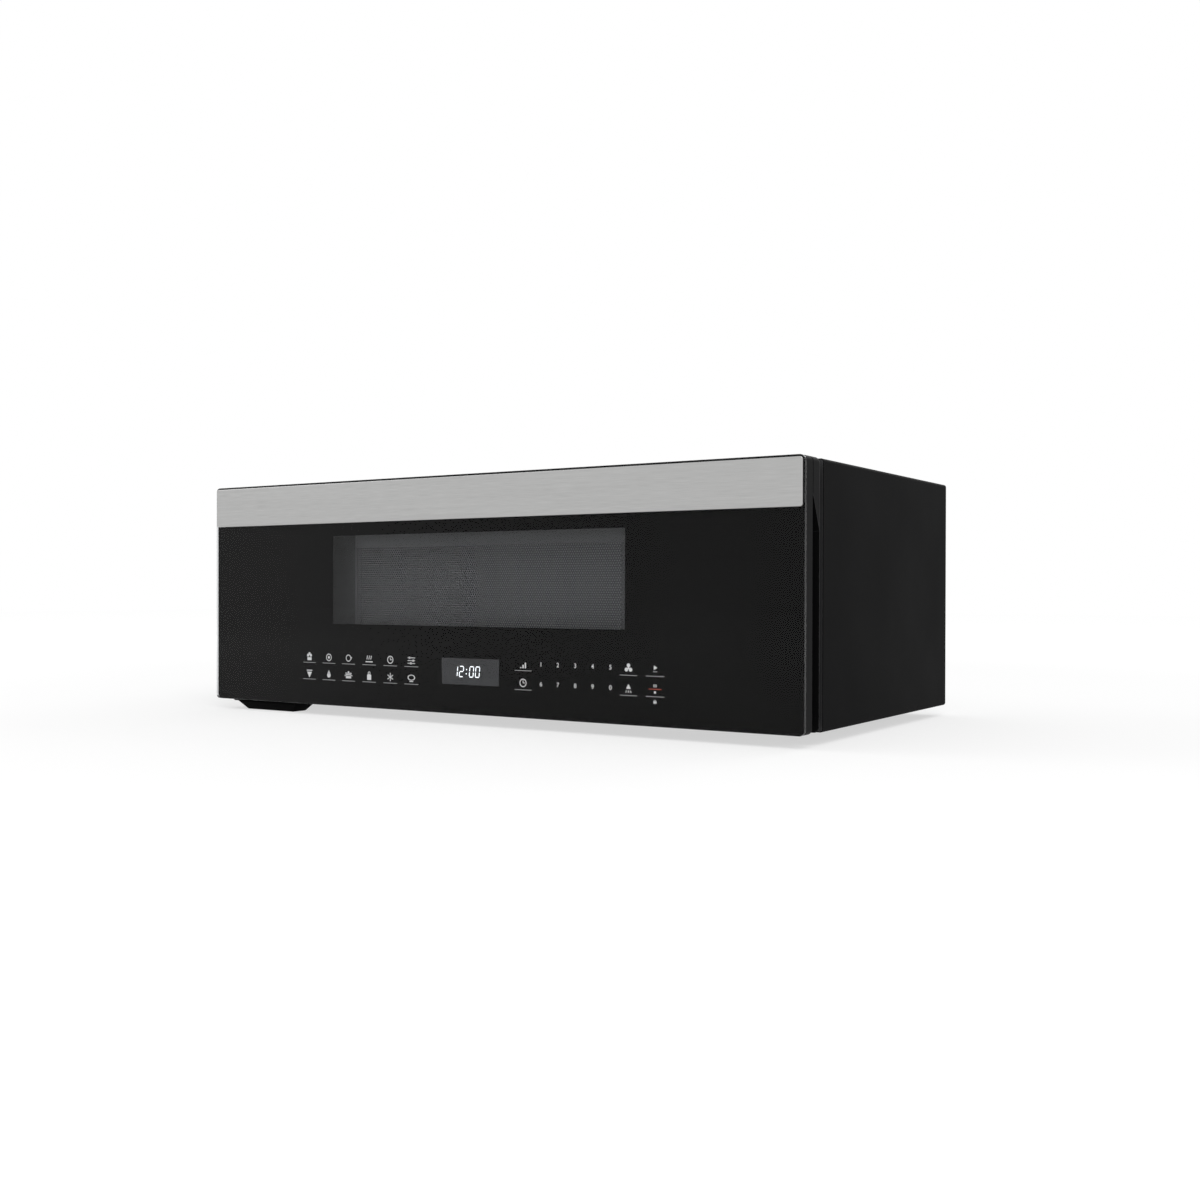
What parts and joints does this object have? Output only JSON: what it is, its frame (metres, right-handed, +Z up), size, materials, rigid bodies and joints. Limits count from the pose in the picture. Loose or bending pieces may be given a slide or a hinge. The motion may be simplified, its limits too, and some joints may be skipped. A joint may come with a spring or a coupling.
{
  "type": "over the range microwave oven",
  "caption": "Low-profile over-the-range microwave oven with a full-width side-hinged glass door, touch keys in the door, a hidden top vent and a turntable cavity.",
  "frame": {"origin": "centre of the wall plate's back face, at the door's mid height", "axes": "+X to the viewer's right along the unit's width, +Y out of the back towards the wall, +Z up; the door faces -Y"},
  "size_m": [0.7588, 0.4, 0.2621],
  "materials": {
    "brushed_strip": "brushed along the strip, satin",
    "black_glass": "clear toughened glass over black print",
    "black_print": "fired black enamel print",
    "door_moulding": "fine-grained black moulding",
    "bush_plastic": "smooth black bearing plastic",
    "enamelled_steel": "black enamel",
    "screen_steel": "black perforated steel",
    "choke_moulding": "satin black moulding",
    "clear_pane": "clear",
    "circuit_board": "green laminate",
    "display_housing": "smoked window over white segments",
    "spring_wire": "bright spring wire",
    "plated_screws": "zinc plated",
    "latch_moulding": "natural acetal",
    "black_case": "satin black powder coat",
    "galvanised_steel": "galvanised",
    "black_frame": "satin black enamel",
    "grille_moulding": "black moulding",
    "charcoal": "charcoal granules in a frame",
    "cavity_enamel": "light grey speckled enamel",
    "mica": "pressed mica sheet",
    "motor_steel": "zinc plated steel",
    "fan_moulding": "black moulding",
    "filter_aluminium": "folded mesh",
    "lamp_lens": "frosted",
    "lamp_module": "white moulding",
    "core_steel": "varnished laminations",
    "winding_copper": "enamelled copper wire",
    "can_aluminium": "drawn can",
    "diode_epoxy": "black epoxy",
    "cutout_ceramic": "ceramic body",
    "bracket_moulding": "natural nylon",
    "switch_moulding": "dark switch cases",
    "hinge_steel": "black plated steel",
    "coupler_moulding": "heat-proof moulding",
    "tray_glass": "clear glass",
    "ring_moulding": "heat-proof white moulding",
    "roller_moulding": "heat-proof white moulding",
    "wheel_moulding": "black moulding"
  },
  "bodies": {
    "case": {"outer_case": "black_case", "rear_plate": "galvanised_steel", "wall_plate": "galvanised_steel", "base_pan": "black_case", "front_frame": "black_frame", "vent_grille": "grille_moulding", "charcoal_filter": "charcoal", "air_deck": "galvanised_steel", "exhaust_cover": "galvanised_steel", "cabinet_nuts": "plated_screws", "cord_bushing": "bush_plastic", "oven_cavity": "cavity_enamel", "feed_cover": "mica", "turntable_motor": "galvanised_steel", "blower_housing": "galvanised_steel", "blower_motor": "motor_steel", "fan_frame": "fan_moulding", "grease_filter_left": "filter_aluminium", "grease_filter_right": "filter_aluminium", "lamp_lenses": "lamp_lens", "cooktop_lamps": "lamp_module", "oven_lamp": "lamp_module", "waveguide": "galvanised_steel", "magnetron": "motor_steel", "transformer_core": "core_steel", "transformer_windings": "winding_copper", "capacitor": "can_aluminium", "high_voltage_diode": "diode_epoxy", "power_board": "circuit_board", "line_filter": "circuit_board", "thermal_cutouts": "cutout_ceramic", "interlock_bracket": "bracket_moulding", "interlock_switches": "switch_moulding", "rear_screws": "plated_screws", "upper_hinge": "hinge_steel", "lower_hinge": "hinge_steel", "hinge_cover": "door_moulding"},
    "door": {"trim_strip": "brushed_strip", "door_glass": "black_glass", "glass_print": "black_print", "door_bezel": "door_moulding", "door_rear_cover": "door_moulding", "hinge_bushes": "bush_plastic", "choke_panel": "enamelled_steel", "window_screen": "screen_steel", "choke_cover": "choke_moulding", "inner_pane": "clear_pane", "touch_board": "circuit_board", "display_module": "display_housing", "latch_spring": "spring_wire", "door_screws": "plated_screws"},
    "latch": {"door_latch": "latch_moulding"},
    "turntable": {"drive_coupler": "coupler_moulding", "glass_tray": "tray_glass"},
    "ring": {"roller_ring": "ring_moulding"},
    "roller_a": {"roller_1": "roller_moulding"},
    "roller_b": {"roller_2": "roller_moulding"},
    "roller_c": {"roller_3": "roller_moulding"},
    "vent_wheel": {"blower_wheel": "wheel_moulding"},
    "fan_rotor": {"cooling_fan": "wheel_moulding"}
  },
  "joints": [
    {"name": "door_hinge", "type": "hinge", "parent": "case", "child": "door", "pos_m": [-0.3634, -0.3788, 0], "axis": [0, 0, -1], "range_deg": [0, 105]},
    {"name": "latch_slide", "type": "slide", "parent": "door", "child": "latch", "axis": [0, 0, 1], "range_m": [0, 0.004], "stiffness_N_per_m": 60, "deforming": ["latch_spring"]},
    {"name": "turntable_spin", "type": "hinge", "parent": "case", "child": "turntable", "pos_m": [0, -0.1869, -0.0846], "axis": [0, 0, 1], "continuous": true},
    {"name": "ring_spin", "type": "hinge", "parent": "case", "child": "ring", "pos_m": [0, -0.1869, -0.0846], "axis": [0, 0, 1], "continuous": true},
    {"name": "roller_a_spin", "type": "hinge", "parent": "ring", "child": "roller_a", "pos_m": [0.102, -0.1869, -0.0758], "axis": [1, 0, 0], "continuous": true},
    {"name": "roller_b_spin", "type": "hinge", "parent": "ring", "child": "roller_b", "pos_m": [-0.051, -0.09856, -0.0758], "axis": [-0.5, 0.866, 0], "continuous": true},
    {"name": "roller_c_spin", "type": "hinge", "parent": "ring", "child": "roller_c", "pos_m": [-0.051, -0.27524, -0.0758], "axis": [-0.5, -0.866, 0], "continuous": true},
    {"name": "vent_wheel_spin", "type": "hinge", "parent": "case", "child": "vent_wheel", "pos_m": [-0.3265, -0.1, 0.0155], "axis": [0, -1, 0], "continuous": true},
    {"name": "fan_spin", "type": "hinge", "parent": "case", "child": "fan_rotor", "pos_m": [0.3265, -0.03, -0.002], "axis": [0, -1, 0], "continuous": true}
  ],
  "couplings": [
    {"joint": "ring_spin", "follows": "turntable_spin", "ratio": 0.5},
    {"joint": "roller_a_spin", "follows": "turntable_spin", "ratio": -6},
    {"joint": "roller_b_spin", "follows": "turntable_spin", "ratio": -6},
    {"joint": "roller_c_spin", "follows": "turntable_spin", "ratio": -6}
  ]
}
